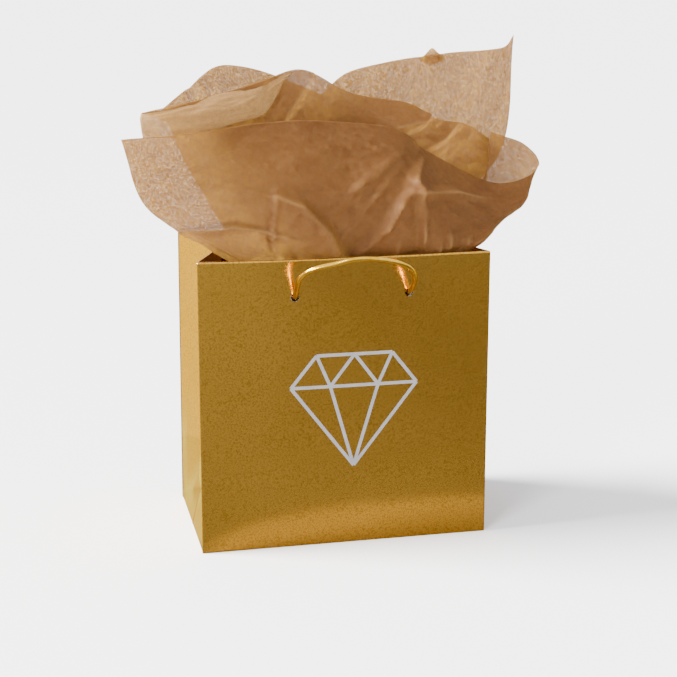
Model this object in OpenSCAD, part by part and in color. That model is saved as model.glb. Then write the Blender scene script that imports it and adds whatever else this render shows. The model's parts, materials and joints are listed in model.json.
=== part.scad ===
// Foil-laminated paper gift bag with rope handles and tissue paper.
// Millimetres, +Z up. Origin: middle of the footprint, on the surface the bag stands on.
// The front panel faces -Y and the gussets are at -X and +X.

/* [Bag] */
// Width of the front and back panels
bag_w = 165; // [140:1:200]
// Depth of the base, front to back
bag_d = 88.9; // [80:0.1:110]
// Height of the panels, base to rim
bag_h = 165; // [150:1:200]
// How far the front panel leans in at rest, in degrees
front_lean = 3; // [2:0.5:4]

/* [Paper and board] */
// Thickness of the laminated paper
paper_t = 0.4; // [0.3:0.05:0.5]
// Thickness of the reinforcement cards under the rim
card_t = 1; // [0.8:0.1:1.2]
// Height of the reinforcement cards
card_h = 28; // [26:1:32]
// Height of the turned-in hem
hem_h = 36; // [34:1:42]
// Thickness of the loose bottom board
board_t = 1.6; // [1:0.1:2]
// Width of the glued side lap
lap_w = 12; // [8:1:16]

/* [Handles] */
// Diameter of the rope
rope_d = 2.8; // [2:0.1:3.2]
// Distance between the two holes of one handle
hole_gap = 64.5; // [60:0.5:68]
// Sideways place of each hole pair's middle on its panel
hole_shift = 2.5; // [-5:0.5:5]
// Diameter of the punched holes
hole_d = 5; // [4.5:0.1:6]
// Distance of the holes below the rim
hole_drop = 20.8; // [19:0.1:22]
// Height of the rope arch above its holes
arch_h = 34; // [32:1:45]
// Lean of the arches away from the panels at rest, in degrees
arch_lean = 45; // [20:1:60]

/* [Tissue] */
// Thickness that each crumpled sheet takes up
tissue_t = 1.2; // [0.8:0.1:1.6]

/* [Hidden] */
LEFT = -1;
RIGHT = 1;
FRONT = -1;
BACK = 1;
crease_gap = 0.15;               // air between two leaves that meet at a crease
hem_gap = 0.35;                  // air between a gusset and its turned-in hem
flap_gap = 0.5;                  // room the flaps and board leave for the walls to tilt
crease_z = bag_d / 2;            // the gusset's cross crease is half the depth up
rope_out = rope_d / 2 + 0.9;     // the arch swings about a line this far outside the panel
hole_z = bag_h - hole_drop;
arch_w = hole_gap;
arch_bend = 26;                  // bend radius of the arch's shoulders
knot_d = 7;
leaf_lift = 0.05;                // keeps a leaning wall's inner edge off the floor
wall_in = paper_t + card_t + paper_t;   // panel, card and hem together
foil = [0.80, 0.62, 0.22];
foil_inside = [0.62, 0.46, 0.16];
grey_board = [0.62, 0.60, 0.56];
rope_gold = [0.90, 0.70, 0.28];
kraft = [0.72, 0.55, 0.38];

// ---- the walls, drawn upright at the front and then leaned or mirrored into place ----
// Outer face of the front wall at height z, after the lean
function front_y(z) = -bag_d / 2 + z * tan(front_lean);
function back_y(z) = bag_d / 2;
// The gusset is a V as wide as the depth, so it folds in as far as the walls come together
function fold_in(z) = sqrt(pow(bag_d / 2, 2) - pow((back_y(z) - front_y(z)) / 2, 2));
function mid_y(z) = (back_y(z) + front_y(z)) / 2;

function hole_x(side) = hole_shift + side * hole_gap / 2;

module front_place() {
    translate([0, -bag_d / 2, 0]) rotate([-front_lean, 0, 0]) children();
}

module back_place() {
    translate([0, bag_d / 2, 0]) mirror([0, 1, 0]) children();
}

module hole_pair() {
    for (side = [LEFT, RIGHT])
        translate([hole_x(side), -1, hole_z]) rotate([-90, 0, 0]) cylinder(d = hole_d, h = 10, $fn = 48);
}

module wall_leaf() {
    difference() {
        translate([-bag_w / 2, 0, leaf_lift]) cube([bag_w, paper_t, bag_h - leaf_lift]);
        hole_pair();
    }
}

module wall_card() {
    card_w = bag_w - 6;
    difference() {
        translate([-card_w / 2, paper_t, bag_h - 1 - card_h]) cube([card_w, card_t, card_h]);
        hole_pair();
    }
}

module wall_hem() {
    hem_w = bag_w - 4;
    difference() {
        translate([-hem_w / 2, paper_t + card_t, bag_h - hem_h]) cube([hem_w, paper_t, hem_h]);
        hole_pair();
    }
}

// A knot behind the card and the rope's short run out through the hole
module knot(side) {
    translate([hole_x(side), 0, hole_z]) {
        translate([0, -rope_out, 0]) sphere(d = rope_d, $fn = 32);
        translate([0, -rope_out, 0]) rotate([-90, 0, 0]) cylinder(d = rope_d, h = rope_out + wall_in + 1, $fn = 32);
        translate([0, wall_in + knot_d / 2 + 0.05, 0]) sphere(d = knot_d, $fn = 32);
    }
}

// ---- rope arch: two uprights, two shoulders and a straight top, in the plane y = 0 ----
module arch_half() {
    start = rope_d / 2 + 0.4;
    straight = arch_w / 2 - arch_bend;
    rise = arch_h - arch_bend - start;
    translate([arch_w / 2, 0, start]) cylinder(d = rope_d, h = rise, $fn = 32);
    translate([straight, 0, arch_h - arch_bend]) rotate([90, 0, 0])
        rotate_extrude(angle = 90, $fn = 64) translate([arch_bend, 0]) circle(d = rope_d, $fn = 32);
    translate([0, 0, arch_h]) rotate([0, 90, 0]) cylinder(d = rope_d, h = straight, $fn = 32);
}

module arch(lean) {
    translate([hole_shift, -rope_out, hole_z]) rotate([lean, 0, 0]) {
        arch_half();
        mirror([1, 0, 0]) arch_half();
    }
}

// ---- thin leaf through a grid of points, thickened by one offset ----
function grid_cells(n, m, base) = [
    for (i = [0 : n - 2]) for (j = [0 : m - 2])
        let (a = base + i * m + j, b = a + 1, c = a + m + 1, d = a + m)
        for (t = [[a, b, c], [a, c, d]]) t
];
function edge_loop(n, m) = concat(
    [for (j = [0 : m - 2]) j],
    [for (i = [0 : n - 2]) i * m + m - 1],
    [for (j = [m - 1 : -1 : 1]) (n - 1) * m + j],
    [for (i = [n - 1 : -1 : 1]) i * m]
);
function turned(faces) = [for (f = faces) [f[2], f[1], f[0]]];

module leaf(g, offset) {
    n = len(g);
    m = len(g[0]);
    count = n * m;
    flat = [for (row = g) for (p = row) p];
    loop = edge_loop(n, m);
    last = len(loop) - 1;
    sides = [
        for (k = [0 : last])
            let (a = loop[k], b = loop[k == last ? 0 : k + 1])
            for (t = [[a, a + count, b + count], [a, b + count, b]]) t
    ];
    faces = concat(grid_cells(n, m, 0), turned(grid_cells(n, m, count)), sides);
    facing = cross(g[0][1] - g[0][0], g[1][0] - g[0][0]) * offset;
    polyhedron(concat(flat, [for (p = flat) p + offset]), facing > 0 ? faces : turned(faces));
}

// Three-cornered leaf
module corner_leaf(a, b, c, offset) {
    faces = [[0, 1, 2], [3, 5, 4], [0, 3, 4], [0, 4, 1], [1, 4, 5], [1, 5, 2], [2, 5, 3], [2, 3, 0]];
    facing = cross(b - a, c - a) * offset;
    polyhedron([a, b, c, a + offset, b + offset, c + offset], facing > 0 ? faces : turned(faces));
}

// ---- gussets, drawn on the left and mirrored to the right ----
leaf_steps = 6;
inward = [paper_t, 0, 0];
front_inside = paper_t / cos(front_lean) + crease_gap;
function front_edge(z) = [-bag_w / 2, front_y(z) + front_inside, z];
function back_edge(z) = [-bag_w / 2, back_y(z) - paper_t - crease_gap, z];
function fold_line(z, x_z) = [-bag_w / 2 + fold_in(x_z), mid_y(x_z), z];
// The crease node keeps its paper distance to the two bottom corners
apex_z = sqrt(pow(crease_z, 2) - pow(fold_in(crease_z), 2));
apex = fold_line(apex_z, crease_z);
function up_to_rim(z, t) = z + (bag_h - z) * t;
function gusset_row(t, edge_p) = [edge_p, fold_line(up_to_rim(apex_z, t), up_to_rim(crease_z, t))];
function gusset_front_grid(from) = [
    for (k = [0 : leaf_steps]) let (t = from + (1 - from) * k / leaf_steps)
        gusset_row(t, front_edge(up_to_rim(crease_z, t)))
];
function gusset_back_grid(from) = [
    for (k = [0 : leaf_steps]) let (t = from + (1 - from) * k / leaf_steps)
        gusset_row(t, back_edge(up_to_rim(crease_z, t)))
];
hem_from = 1 - hem_h / (bag_h - crease_z);
hem_shift = inward + [hem_gap, 0, 0];

module on_side(side) {
    mirror([side == RIGHT ? 1 : 0, 0, 0]) children();
}

module gusset_base(side) {
    on_side(side) corner_leaf(front_edge(0), back_edge(0), apex, inward);
}

module gusset_front_corner(side) {
    on_side(side) corner_leaf(front_edge(0), front_edge(crease_z), apex, inward);
}

module gusset_back_corner(side) {
    on_side(side) corner_leaf(back_edge(0), back_edge(crease_z), apex, inward);
}

module gusset_front(side) {
    on_side(side) leaf(gusset_front_grid(0), inward);
}

module gusset_back(side) {
    on_side(side) leaf(gusset_back_grid(0), inward);
}

module gusset_hem_front(side) {
    on_side(side) translate(hem_shift) leaf(gusset_front_grid(hem_from), inward);
}

module gusset_hem_back(side) {
    on_side(side) translate(hem_shift) leaf(gusset_back_grid(hem_from), inward);
}

module left_gusset_base() color(foil) gusset_base(LEFT);
module left_gusset_front_corner() color(foil) gusset_front_corner(LEFT);
module left_gusset_back_corner() color(foil) gusset_back_corner(LEFT);
module left_gusset_front() color(foil) gusset_front(LEFT);
module left_gusset_back() color(foil) gusset_back(LEFT);
module left_hem_front() color(foil_inside) gusset_hem_front(LEFT);
module left_hem_back() color(foil_inside) gusset_hem_back(LEFT);
module right_gusset_base() color(foil) gusset_base(RIGHT);
module right_gusset_front_corner() color(foil) gusset_front_corner(RIGHT);
module right_gusset_back_corner() color(foil) gusset_back_corner(RIGHT);
module right_gusset_front() color(foil) gusset_front(RIGHT);
module right_gusset_back() color(foil) gusset_back(RIGHT);
module right_hem_front() color(foil_inside) gusset_hem_front(RIGHT);
module right_hem_back() color(foil_inside) gusset_hem_back(RIGHT);

// ---- base: two wide flaps glued under two side flaps, and the loose board ----
flap_w = bag_w - 2 * (paper_t + flap_gap);
flap_y = bag_d / 2 - paper_t - flap_gap;
flap_overlap = 15;
side_flap = 36;

module bottom_back_flap() {
    color(foil) translate([-flap_w / 2, -flap_overlap, 0]) cube([flap_w, flap_y + flap_overlap, paper_t]);
}

module bottom_front_flap() {
    color(foil) translate([-flap_w / 2, -flap_y, paper_t]) cube([flap_w, flap_y + flap_overlap, paper_t]);
}

module side_flap_leaf() {
    tuck = side_flap * 0.8;
    translate([-flap_w / 2, 0, 2 * paper_t]) linear_extrude(paper_t)
        polygon([[0, -flap_y], [0, flap_y], [side_flap, flap_y - tuck], [side_flap, tuck - flap_y]]);
}

module bottom_left_flap() color(foil_inside) side_flap_leaf();
module bottom_right_flap() color(foil_inside) mirror([1, 0, 0]) side_flap_leaf();

module bottom_board() {
    board_w = bag_w - 3.4;
    board_d = bag_d - 4;
    color(grey_board) translate([-board_w / 2, -board_d / 2, 3 * paper_t]) cube([board_w, board_d, board_t]);
}

// ---- front wall ----
module front_panel() color(foil) front_place() wall_leaf();
module front_card() color(grey_board) front_place() wall_card();
module front_hem() color(foil_inside) front_place() wall_hem();
module front_left_knot() color(rope_gold) front_place() knot(LEFT);
module front_right_knot() color(rope_gold) front_place() knot(RIGHT);
module front_handle() color(rope_gold) front_place() arch(arch_lean);

// ---- back wall ----
module back_panel() color(foil) back_place() wall_leaf();
module back_card() color(grey_board) back_place() wall_card();
module back_hem() color(foil_inside) back_place() wall_hem();
module back_left_knot() color(rope_gold) back_place() knot(LEFT);
module back_right_knot() color(rope_gold) back_place() knot(RIGHT);
module back_handle() color(rope_gold) back_place() arch(arch_lean);

// The gusset's glued edge, inside the back panel
module back_side_lap() {
    lap_top = bag_h - hem_h - 1;
    color(foil_inside) back_place() translate([1 - bag_w / 2, paper_t, crease_z])
        cube([lap_w, paper_t, lap_top - crease_z]);
}

// ---- tissue: each sheet is gathered inside the bag and spreads above the rim ----
// Rows run from the gathered end up to the free edge, points from left to right.
front_sheet = [
    [[-44, -20, 105], [-30, -21, 105], [-14, -21, 105], [0, -21, 105], [14, -21, 105], [30, -21, 105], [44, -20, 105]],
    [[-56, -23, 152], [-38, -24, 152], [-18, -24, 152], [0, -24, 152], [18, -24, 152], [38, -24, 152], [56, -23, 152]],
    [[-74, -27, 169], [-56, -32, 168], [-30, -32, 168], [0, -32, 168], [30, -32, 168], [58, -31, 168], [77, -27, 169]],
    [[-109, -38, 196], [-78, -35, 200], [-42, -34, 202], [-4, -33, 201], [34, -30, 198], [72, -22, 190], [112, -2, 180]],
    [[-121, -42, 232], [-81, -30, 233], [-46, -18, 236], [-6, -10, 235], [33, -4, 229], [70, 0, 206], [122, 11, 201]]
];
middle_sheet = [
    [[-40, -10, 105], [-28, -10, 105], [-14, -10, 105], [0, -10, 105], [14, -10, 105], [28, -10, 105], [40, -10, 105]],
    [[-50, -8, 152], [-34, -9, 152], [-16, -9, 152], [0, -9, 152], [16, -9, 152], [34, -9, 152], [48, -8, 152]],
    [[-66, -7, 169], [-48, -9, 168], [-28, -10, 168], [0, -10, 168], [28, -10, 168], [48, -8, 168], [62, -3, 169]],
    [[-98, -20, 205], [-66, -14, 206], [-34, -12, 207], [0, -9, 208], [38, -5, 206], [68, 4, 200], [102, 13, 196]],
    [[-109, -24, 242], [-66, -8, 250], [-25, 2, 261], [10, 6, 249], [44, 7, 242], [71, 10, 231], [105, 17, 221]]
];
left_sheet = [
    [[-34, 3, 105], [-24, 3, 105], [-12, 3, 105], [0, 3, 105], [12, 3, 105], [24, 3, 105], [34, 3, 105]],
    [[-44, 6, 152], [-30, 6, 152], [-15, 6, 152], [0, 6, 152], [15, 6, 152], [30, 6, 152], [44, 6, 152]],
    [[-57, 9, 168], [-40, 8, 168], [-20, 8, 168], [0, 8, 168], [20, 8, 168], [38, 9, 168], [52, 10, 168]],
    [[-80, 12, 208], [-62, 11, 212], [-40, 11, 214], [-16, 12, 214], [8, 13, 210], [30, 14, 206], [50, 18, 202]],
    [[-94, 10, 241], [-80, 13, 252], [-62, 17, 263], [-36, 18, 260], [-6, 19, 250], [20, 20, 236], [48, 21, 222]]
];
back_sheet = [
    [[-34, 15, 105], [-24, 15, 105], [-12, 15, 105], [0, 15, 105], [12, 15, 105], [24, 15, 105], [34, 15, 105]],
    [[-46, 24, 152], [-30, 24, 152], [-15, 24, 152], [0, 24, 152], [15, 24, 152], [32, 24, 152], [50, 24, 152]],
    [[-54, 27, 168], [-36, 28, 168], [-18, 29, 168], [2, 29, 168], [24, 29, 168], [46, 29, 168], [66, 28, 168]],
    [[-20, 27, 210], [0, 27, 212], [20, 28, 214], [42, 29, 214], [66, 30, 212], [88, 31, 210], [109, 31, 210]],
    [[-6, 27, 240], [10, 28, 256], [38, 29, 263], [59, 29, 267], [77, 30, 269], [96, 31, 270], [114, 31, 277]]
];

module tissue(rows) {
    color(kraft) leaf(rows, [0, tissue_t, 0]);
}

module tissue_front() tissue(front_sheet);
module tissue_middle() tissue(middle_sheet);
module tissue_left() tissue(left_sheet);
module tissue_back() tissue(back_sheet);

bottom_back_flap();
bottom_front_flap();
bottom_left_flap();
bottom_right_flap();
bottom_board();
left_gusset_base();
left_gusset_front_corner();
left_gusset_back_corner();
left_gusset_front();
left_gusset_back();
left_hem_front();
left_hem_back();
right_gusset_base();
right_gusset_front_corner();
right_gusset_back_corner();
right_gusset_front();
right_gusset_back();
right_hem_front();
right_hem_back();
front_panel();
front_card();
front_hem();
front_left_knot();
front_right_knot();
back_panel();
back_card();
back_hem();
back_side_lap();
back_left_knot();
back_right_knot();
front_handle();
back_handle();
tissue_front();
tissue_middle();
tissue_left();
tissue_back();
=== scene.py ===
import json
import math

import bmesh
import bpy
from mathutils import Matrix, Vector, noise


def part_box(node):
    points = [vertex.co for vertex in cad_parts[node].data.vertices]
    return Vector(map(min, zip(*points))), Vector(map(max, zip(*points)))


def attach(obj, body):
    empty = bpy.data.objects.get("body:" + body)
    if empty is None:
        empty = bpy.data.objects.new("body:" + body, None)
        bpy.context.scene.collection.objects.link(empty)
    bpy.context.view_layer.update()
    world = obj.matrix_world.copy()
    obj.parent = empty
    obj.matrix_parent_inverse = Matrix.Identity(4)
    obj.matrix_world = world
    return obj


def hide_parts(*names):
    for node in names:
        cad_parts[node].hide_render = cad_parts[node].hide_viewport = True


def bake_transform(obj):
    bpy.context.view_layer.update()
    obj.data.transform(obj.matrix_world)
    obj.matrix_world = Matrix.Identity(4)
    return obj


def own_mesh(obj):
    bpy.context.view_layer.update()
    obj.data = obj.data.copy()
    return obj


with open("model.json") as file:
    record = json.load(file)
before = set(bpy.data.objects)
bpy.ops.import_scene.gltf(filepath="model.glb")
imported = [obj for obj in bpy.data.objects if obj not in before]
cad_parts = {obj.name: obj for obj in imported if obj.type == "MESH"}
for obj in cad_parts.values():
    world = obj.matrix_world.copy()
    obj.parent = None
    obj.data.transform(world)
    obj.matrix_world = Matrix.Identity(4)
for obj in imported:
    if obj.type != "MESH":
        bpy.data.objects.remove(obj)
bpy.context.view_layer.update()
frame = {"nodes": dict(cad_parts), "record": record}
mm = 0.001

# places from the frame
backLow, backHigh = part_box("back_panel")
frontLow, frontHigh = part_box("front_panel")
paper = backHigh.y - backLow.y
bag = {
    "width": backHigh.x - backLow.x,
    "halfDepth": backHigh.y,
    "height": backHigh.z,
    "lean": math.asin((frontHigh.y - frontLow.y - paper) / backHigh.z),  # the front wall leans in
}
halfWidth = bag["width"] / 2
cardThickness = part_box("back_card")[1].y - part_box("back_card")[0].y
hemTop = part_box("back_hem")[1].z
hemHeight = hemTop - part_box("back_hem")[0].z
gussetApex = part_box("left_gusset_base")[1].z
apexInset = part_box("left_gusset_base")[1].x + halfWidth - paper
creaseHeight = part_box("left_gusset_front_corner")[1].z
joints = {joint["name"]: joint for joint in frame["record"]["behaviour"]["joints"]}
holeMiddle = joints["back_handle_swing"]["pos_m"][0]
holeHeight = joints["back_handle_swing"]["pos_m"][2]
ropeOut = joints["back_handle_swing"]["pos_m"][1] - bag["halfDepth"]
knotLow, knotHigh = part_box("back_left_knot")
holeReach = holeMiddle - (knotLow.x + knotHigh.x) / 2


def smooth(low, high, value):
    t = min(max((value - low) / (high - low), 0), 1)
    return t * t * (3 - 2 * t)


def mix(a, b, t):
    return a + (b - a) * t


# camera
shot = {"azimuth": -13.27, "elevation": 15.89, "roll": 0.73, "distance": 0.8686, "aimX": 0.0043, "aimZ": 0.108}


def makeCamera():
    data = bpy.data.cameras.new("camera")
    data.sensor_width = 36
    data.lens = 79.8
    camera = bpy.data.objects.new("camera", data)
    bpy.context.collection.objects.link(camera)
    azimuth = math.radians(shot["azimuth"])
    elevation = math.radians(shot["elevation"])
    level = math.cos(elevation)
    back = Vector((math.sin(azimuth) * level, -math.cos(azimuth) * level, math.sin(elevation)))
    aim = Vector((shot["aimX"], 0, shot["aimZ"]))
    camera.rotation_mode = "QUATERNION"
    roll = Matrix.Rotation(math.radians(shot["roll"]), 3, "Z")
    turn = (-back).to_track_quat("-Z", "Y").to_matrix() @ roll
    camera.rotation_quaternion = turn.to_quaternion()
    camera.location = aim + back * shot["distance"]
    bpy.context.scene.camera = camera
    print("camera ready")


makeCamera()


# node groups
def newGroup(name, inputs, outputs):
    group = bpy.data.node_groups.new(name, "ShaderNodeTree")
    for label, kind, value in inputs:
        socket = group.interface.new_socket(name=label, in_out="INPUT", socket_type=kind)
        socket.default_value = value
    for label, kind in outputs:
        group.interface.new_socket(name=label, in_out="OUTPUT", socket_type=kind)
    start = group.nodes.new("NodeGroupInput")
    end = group.nodes.new("NodeGroupOutput")
    return group, start, end


def mathNode(tree, operation, first, second):
    node = tree.nodes.new("ShaderNodeMath")
    node.operation = operation
    for socket, value in zip(node.inputs, (first, second)):
        if isinstance(value, (int, float)):
            socket.default_value = value
        else:
            tree.links.new(value, socket)
    return node.outputs[0]


def noiseNode(tree, vector, scale, detail=3, roughness=0.55):
    node = tree.nodes.new("ShaderNodeTexNoise")
    node.inputs["Scale"].default_value = scale
    node.inputs["Detail"].default_value = detail
    node.inputs["Roughness"].default_value = roughness
    tree.links.new(vector, node.inputs["Vector"])
    return node.outputs["Fac"]


def remap(tree, value, low, high, toLow=0.0, toHigh=1.0):
    node = tree.nodes.new("ShaderNodeMapRange")
    node.inputs["From Min"].default_value = low
    node.inputs["From Max"].default_value = high
    node.inputs["To Min"].default_value = toLow
    node.inputs["To Max"].default_value = toHigh
    tree.links.new(value, node.inputs["Value"])
    return node.outputs["Result"]


def mixColor(tree, factor, first, second):
    node = tree.nodes.new("ShaderNodeMix")
    node.data_type = "RGBA"
    for socket, value in ((node.inputs[0], factor), (node.inputs[6], first), (node.inputs[7], second)):
        if isinstance(value, (int, float, tuple)):
            socket.default_value = value
        else:
            tree.links.new(value, socket)
    return node.outputs[2]


def makeGrain():
    # fine speckle, a slow mottle and scuffs, all masks that vary over the surface
    group, start, end = newGroup(
        "paper_grain",
        [
            ("Vector", "NodeSocketVector", (0, 0, 0)),
            ("Fine Scale", "NodeSocketFloat", 1800.0),
            ("Mottle Scale", "NodeSocketFloat", 60.0),
        ],
        [("Fine", "NodeSocketFloat"), ("Mottle", "NodeSocketFloat"), ("Scuff", "NodeSocketFloat")],
    )
    fine = group.nodes.new("ShaderNodeTexNoise")
    fine.inputs["Detail"].default_value = 2
    mottle = group.nodes.new("ShaderNodeTexNoise")
    mottle.inputs["Detail"].default_value = 4
    scuff = group.nodes.new("ShaderNodeTexNoise")
    scuff.inputs["Scale"].default_value = 320
    scuff.inputs["Detail"].default_value = 6
    scuff.inputs["Distortion"].default_value = 1.5
    for node in (fine, mottle, scuff):
        group.links.new(start.outputs["Vector"], node.inputs["Vector"])
    group.links.new(start.outputs["Fine Scale"], fine.inputs["Scale"])
    group.links.new(start.outputs["Mottle Scale"], mottle.inputs["Scale"])
    group.links.new(remap(group, fine.outputs["Fac"], 0.3, 0.7), end.inputs["Fine"])
    group.links.new(remap(group, mottle.outputs["Fac"], 0.3, 0.7), end.inputs["Mottle"])
    group.links.new(remap(group, scuff.outputs["Fac"], 0.6, 0.75), end.inputs["Scuff"])
    return group


grain = makeGrain()


def newMaterial(name):
    material = bpy.data.materials.new(name)
    material.use_nodes = True
    tree = material.node_tree
    shader = tree.nodes["Principled BSDF"]
    where = tree.nodes.new("ShaderNodeTexCoord").outputs["Object"]
    return material, tree, shader, where


def addGrain(tree, vector, fineScale, mottleScale):
    node = tree.nodes.new("ShaderNodeGroup")
    node.node_tree = grain
    node.inputs["Fine Scale"].default_value = fineScale
    node.inputs["Mottle Scale"].default_value = mottleScale
    tree.links.new(vector, node.inputs["Vector"])
    return node.outputs["Fine"], node.outputs["Mottle"], node.outputs["Scuff"]


def addBump(tree, shader, height, strength, distance):
    bump = tree.nodes.new("ShaderNodeBump")
    bump.inputs["Strength"].default_value = strength
    bump.inputs["Distance"].default_value = distance
    tree.links.new(height, bump.inputs["Height"])
    tree.links.new(bump.outputs["Normal"], shader.inputs["Normal"])
    return bump


foilLook = {
    "bright": (0.78, 0.42, 0.066, 1),
    "deep": (0.71, 0.38, 0.056, 1),
    "speck": (0.42, 0.205, 0.022, 1),
    "roughness": 0.15,
    "worn": (0.34, 0.17, 0.045, 1),
    "paintedShadeTone": (0.40, 0.21, 0.040, 1),   # painted shade: darker foil below the gusset creases, standing in for darker reflections there
}


def makeFoil():
    material, tree, shader, where = newMaterial("gold_foil")
    fine, mottle, scuff = addGrain(tree, where, 1050, 16)
    color = mixColor(tree, mottle, foilLook["deep"], foilLook["bright"])
    speck = remap(tree, fine, 0.35, 0.95, 0, 0.75)
    color = mixColor(tree, speck, color, foilLook["speck"])
    # painted shade: the foil colour is mixed towards a darker tone where the gussets are marked below their
    # creases
    paintedShadeMask = tree.nodes.new("ShaderNodeAttribute")
    paintedShadeMask.attribute_name = "paintedShade"
    color = mixColor(tree, paintedShadeMask.outputs["Fac"], color, foilLook["paintedShadeTone"])
    edge = tree.nodes.new("ShaderNodeAttribute")
    edge.attribute_name = "wear"  # 1 at folds and corners
    worn = mathNode(tree, "MULTIPLY", edge.outputs["Fac"], scuff)
    tree.links.new(mixColor(tree, worn, color, foilLook["worn"]), shader.inputs["Base Color"])
    shader.inputs["Metallic"].default_value = 1
    rough = remap(tree, fine, 0, 1, foilLook["roughness"] - 0.03, foilLook["roughness"] + 0.04)
    rough = mathNode(tree, "ADD", rough, mathNode(tree, "MULTIPLY", worn, 0.3))
    tree.links.new(rough, shader.inputs["Roughness"])
    addBump(tree, shader, fine, 0.2, 0.00002)
    return material


def makeFoilInside():
    material, tree, shader, where = newMaterial("paper_inside")
    fine, mottle = addGrain(tree, where, 1500, 70)[:2]
    color = mixColor(tree, mottle, (0.24, 0.20, 0.14, 1), (0.32, 0.27, 0.20, 1))
    tree.links.new(mixColor(tree, fine, color, (0.20, 0.165, 0.12, 1)), shader.inputs["Base Color"])
    shader.inputs["Roughness"].default_value = 0.8
    addBump(tree, shader, fine, 0.3, 0.00005)
    return material


def makeBoard():
    material, tree, shader, where = newMaterial("grey_board")
    fine, mottle, scuff = addGrain(tree, where, 900, 120)
    color = mixColor(tree, mottle, (0.30, 0.28, 0.24, 1), (0.40, 0.38, 0.34, 1))
    tree.links.new(mixColor(tree, scuff, color, (0.52, 0.50, 0.46, 1)), shader.inputs["Base Color"])
    shader.inputs["Roughness"].default_value = 0.9
    addBump(tree, shader, fine, 0.5, 0.0001)
    return material


def makeRopeLook():
    material, tree, shader, where = newMaterial("rope_gold")
    fine, mottle = addGrain(tree, where, 4000, 300)[:2]
    color = mixColor(tree, mottle, (0.76, 0.40, 0.022, 1), (0.94, 0.56, 0.075, 1))
    tree.links.new(color, shader.inputs["Base Color"])
    shader.inputs["Metallic"].default_value = 1
    tree.links.new(remap(tree, fine, 0, 1, 0.14, 0.26), shader.inputs["Roughness"])
    addBump(tree, shader, fine, 0.2, 0.00004)
    return material


def makeInk():
    material, tree, shader, where = newMaterial("grey_print")
    fine, mottle, scuff = addGrain(tree, where, 2500, 150)
    color = mixColor(tree, mottle, (0.165, 0.155, 0.158, 1), (0.20, 0.19, 0.192, 1))
    tree.links.new(mixColor(tree, scuff, color, (0.17, 0.16, 0.155, 1)), shader.inputs["Base Color"])
    tree.links.new(remap(tree, fine, 0, 1, 0.45, 0.6), shader.inputs["Roughness"])
    return material


tissueLook = {
    "thin": (0.175, 0.076, 0.017, 1),
    "thick": (0.088, 0.029, 0.0045, 1),
    "fibre": (0.27, 0.135, 0.045, 1),
    "crease": (0.42, 0.245, 0.085, 1),   # paler fold lines, partly worn paper and partly painted highlight; turned-over flaps painted lighter as a painted highlight
    "through": (0.66, 0.42, 0.095, 1),
    "light": 0.42,          # share of the light that is spread through the sheet
    "clear": (0.55, 0.95),  # how solid the thinnest and thickest parts are
}


def makeTissueLook():
    material, tree, shader, where = newMaterial("kraft_tissue")
    fine, mottle = addGrain(tree, where, 1500, 320)[:2]
    cloud = noiseNode(tree, where, 1000, 5, 0.85)
    color = mixColor(tree, mottle, tissueLook["thick"], tissueLook["thin"])
    flecks = mathNode(tree, "MULTIPLY", remap(tree, cloud, 0.50, 0.68), 0.7)
    color = mixColor(tree, flecks, color, tissueLook["fibre"])
    # the crease attribute paints fold lines paler, partly worn paper and partly painted highlight, and paints
    # the turned-over flaps lighter as a painted highlight of their lit side
    crease = tree.nodes.new("ShaderNodeAttribute")
    crease.attribute_name = "crease"
    color = mixColor(tree, crease.outputs["Fac"], color, tissueLook["crease"])
    tree.links.new(color, shader.inputs["Base Color"])
    shader.inputs["Roughness"].default_value = 0.7
    shader.inputs["Specular IOR Level"].default_value = 0.3
    thick = remap(tree, cloud, 0.40, 0.59, tissueLook["clear"][1], tissueLook["clear"][0])
    tree.links.new(thick, shader.inputs["Alpha"])
    bump = addBump(tree, shader, fine, 0.3, 0.00006)
    through = tree.nodes.new("ShaderNodeBsdfTranslucent")
    tree.links.new(mixColor(tree, mottle, tissueLook["through"], tissueLook["crease"]), through.inputs["Color"])
    tree.links.new(bump.outputs["Normal"], through.inputs["Normal"])
    both = tree.nodes.new("ShaderNodeMixShader")
    both.inputs[0].default_value = tissueLook["light"]
    tree.links.new(shader.outputs[0], both.inputs[1])
    tree.links.new(through.outputs[0], both.inputs[2])
    tree.links.new(both.outputs[0], tree.nodes["Material Output"].inputs["Surface"])
    return material


foil = makeFoil()
foilInside = makeFoilInside()
greyBoard = makeBoard()
ropeGold = makeRopeLook()
greyPrint = makeInk()
kraftTissue = makeTissueLook()
print("materials ready")


# where the walls are
wallLook = {
    "frontBow": 0.0035,   # how far the rim stands out from a flat wall
    "backBow": 0.0020,
    "bowStart": 0.035,
    "ripple": 0.00016,
    "rippleSize": 0.030,
    "seed": 3.7,
}


def bow(side, x, height):
    share = (x / halfWidth + 1) / 2
    share = min(max(share, 0), 1)
    peak = 0.36 if side == "front" else 0.5
    across = share / peak if share < peak else (1 - share) / (1 - peak)
    across = math.sin(across * math.pi / 2)
    rise = smooth(wallLook["bowStart"], bag["height"], height)
    size = wallLook["frontBow"] if side == "front" else wallLook["backBow"]
    seed = wallLook["seed"] * (1 if side == "front" else 2)
    ripple = noise.noise(Vector((x, height, seed)) / wallLook["rippleSize"])
    quiet = min(1, (1 - abs(2 * share - 1)) * 8) * smooth(0, 0.02, height)
    return size * across * rise + wallLook["ripple"] * ripple * quiet


def wallPoint(side, x, height, depth):
    # x to the right, height up the wall, depth into the bag from the outer face
    out = depth - bow(side, x, height)
    if side == "front":
        lean = bag["lean"]
        y = -bag["halfDepth"] + height * math.sin(lean) + out * math.cos(lean)
        return Vector((x, y, height * math.cos(lean) - out * math.sin(lean)))
    return Vector((x, bag["halfDepth"] - out, height))


def frontY(z):
    return -bag["halfDepth"] + z * math.tan(bag["lean"])


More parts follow.
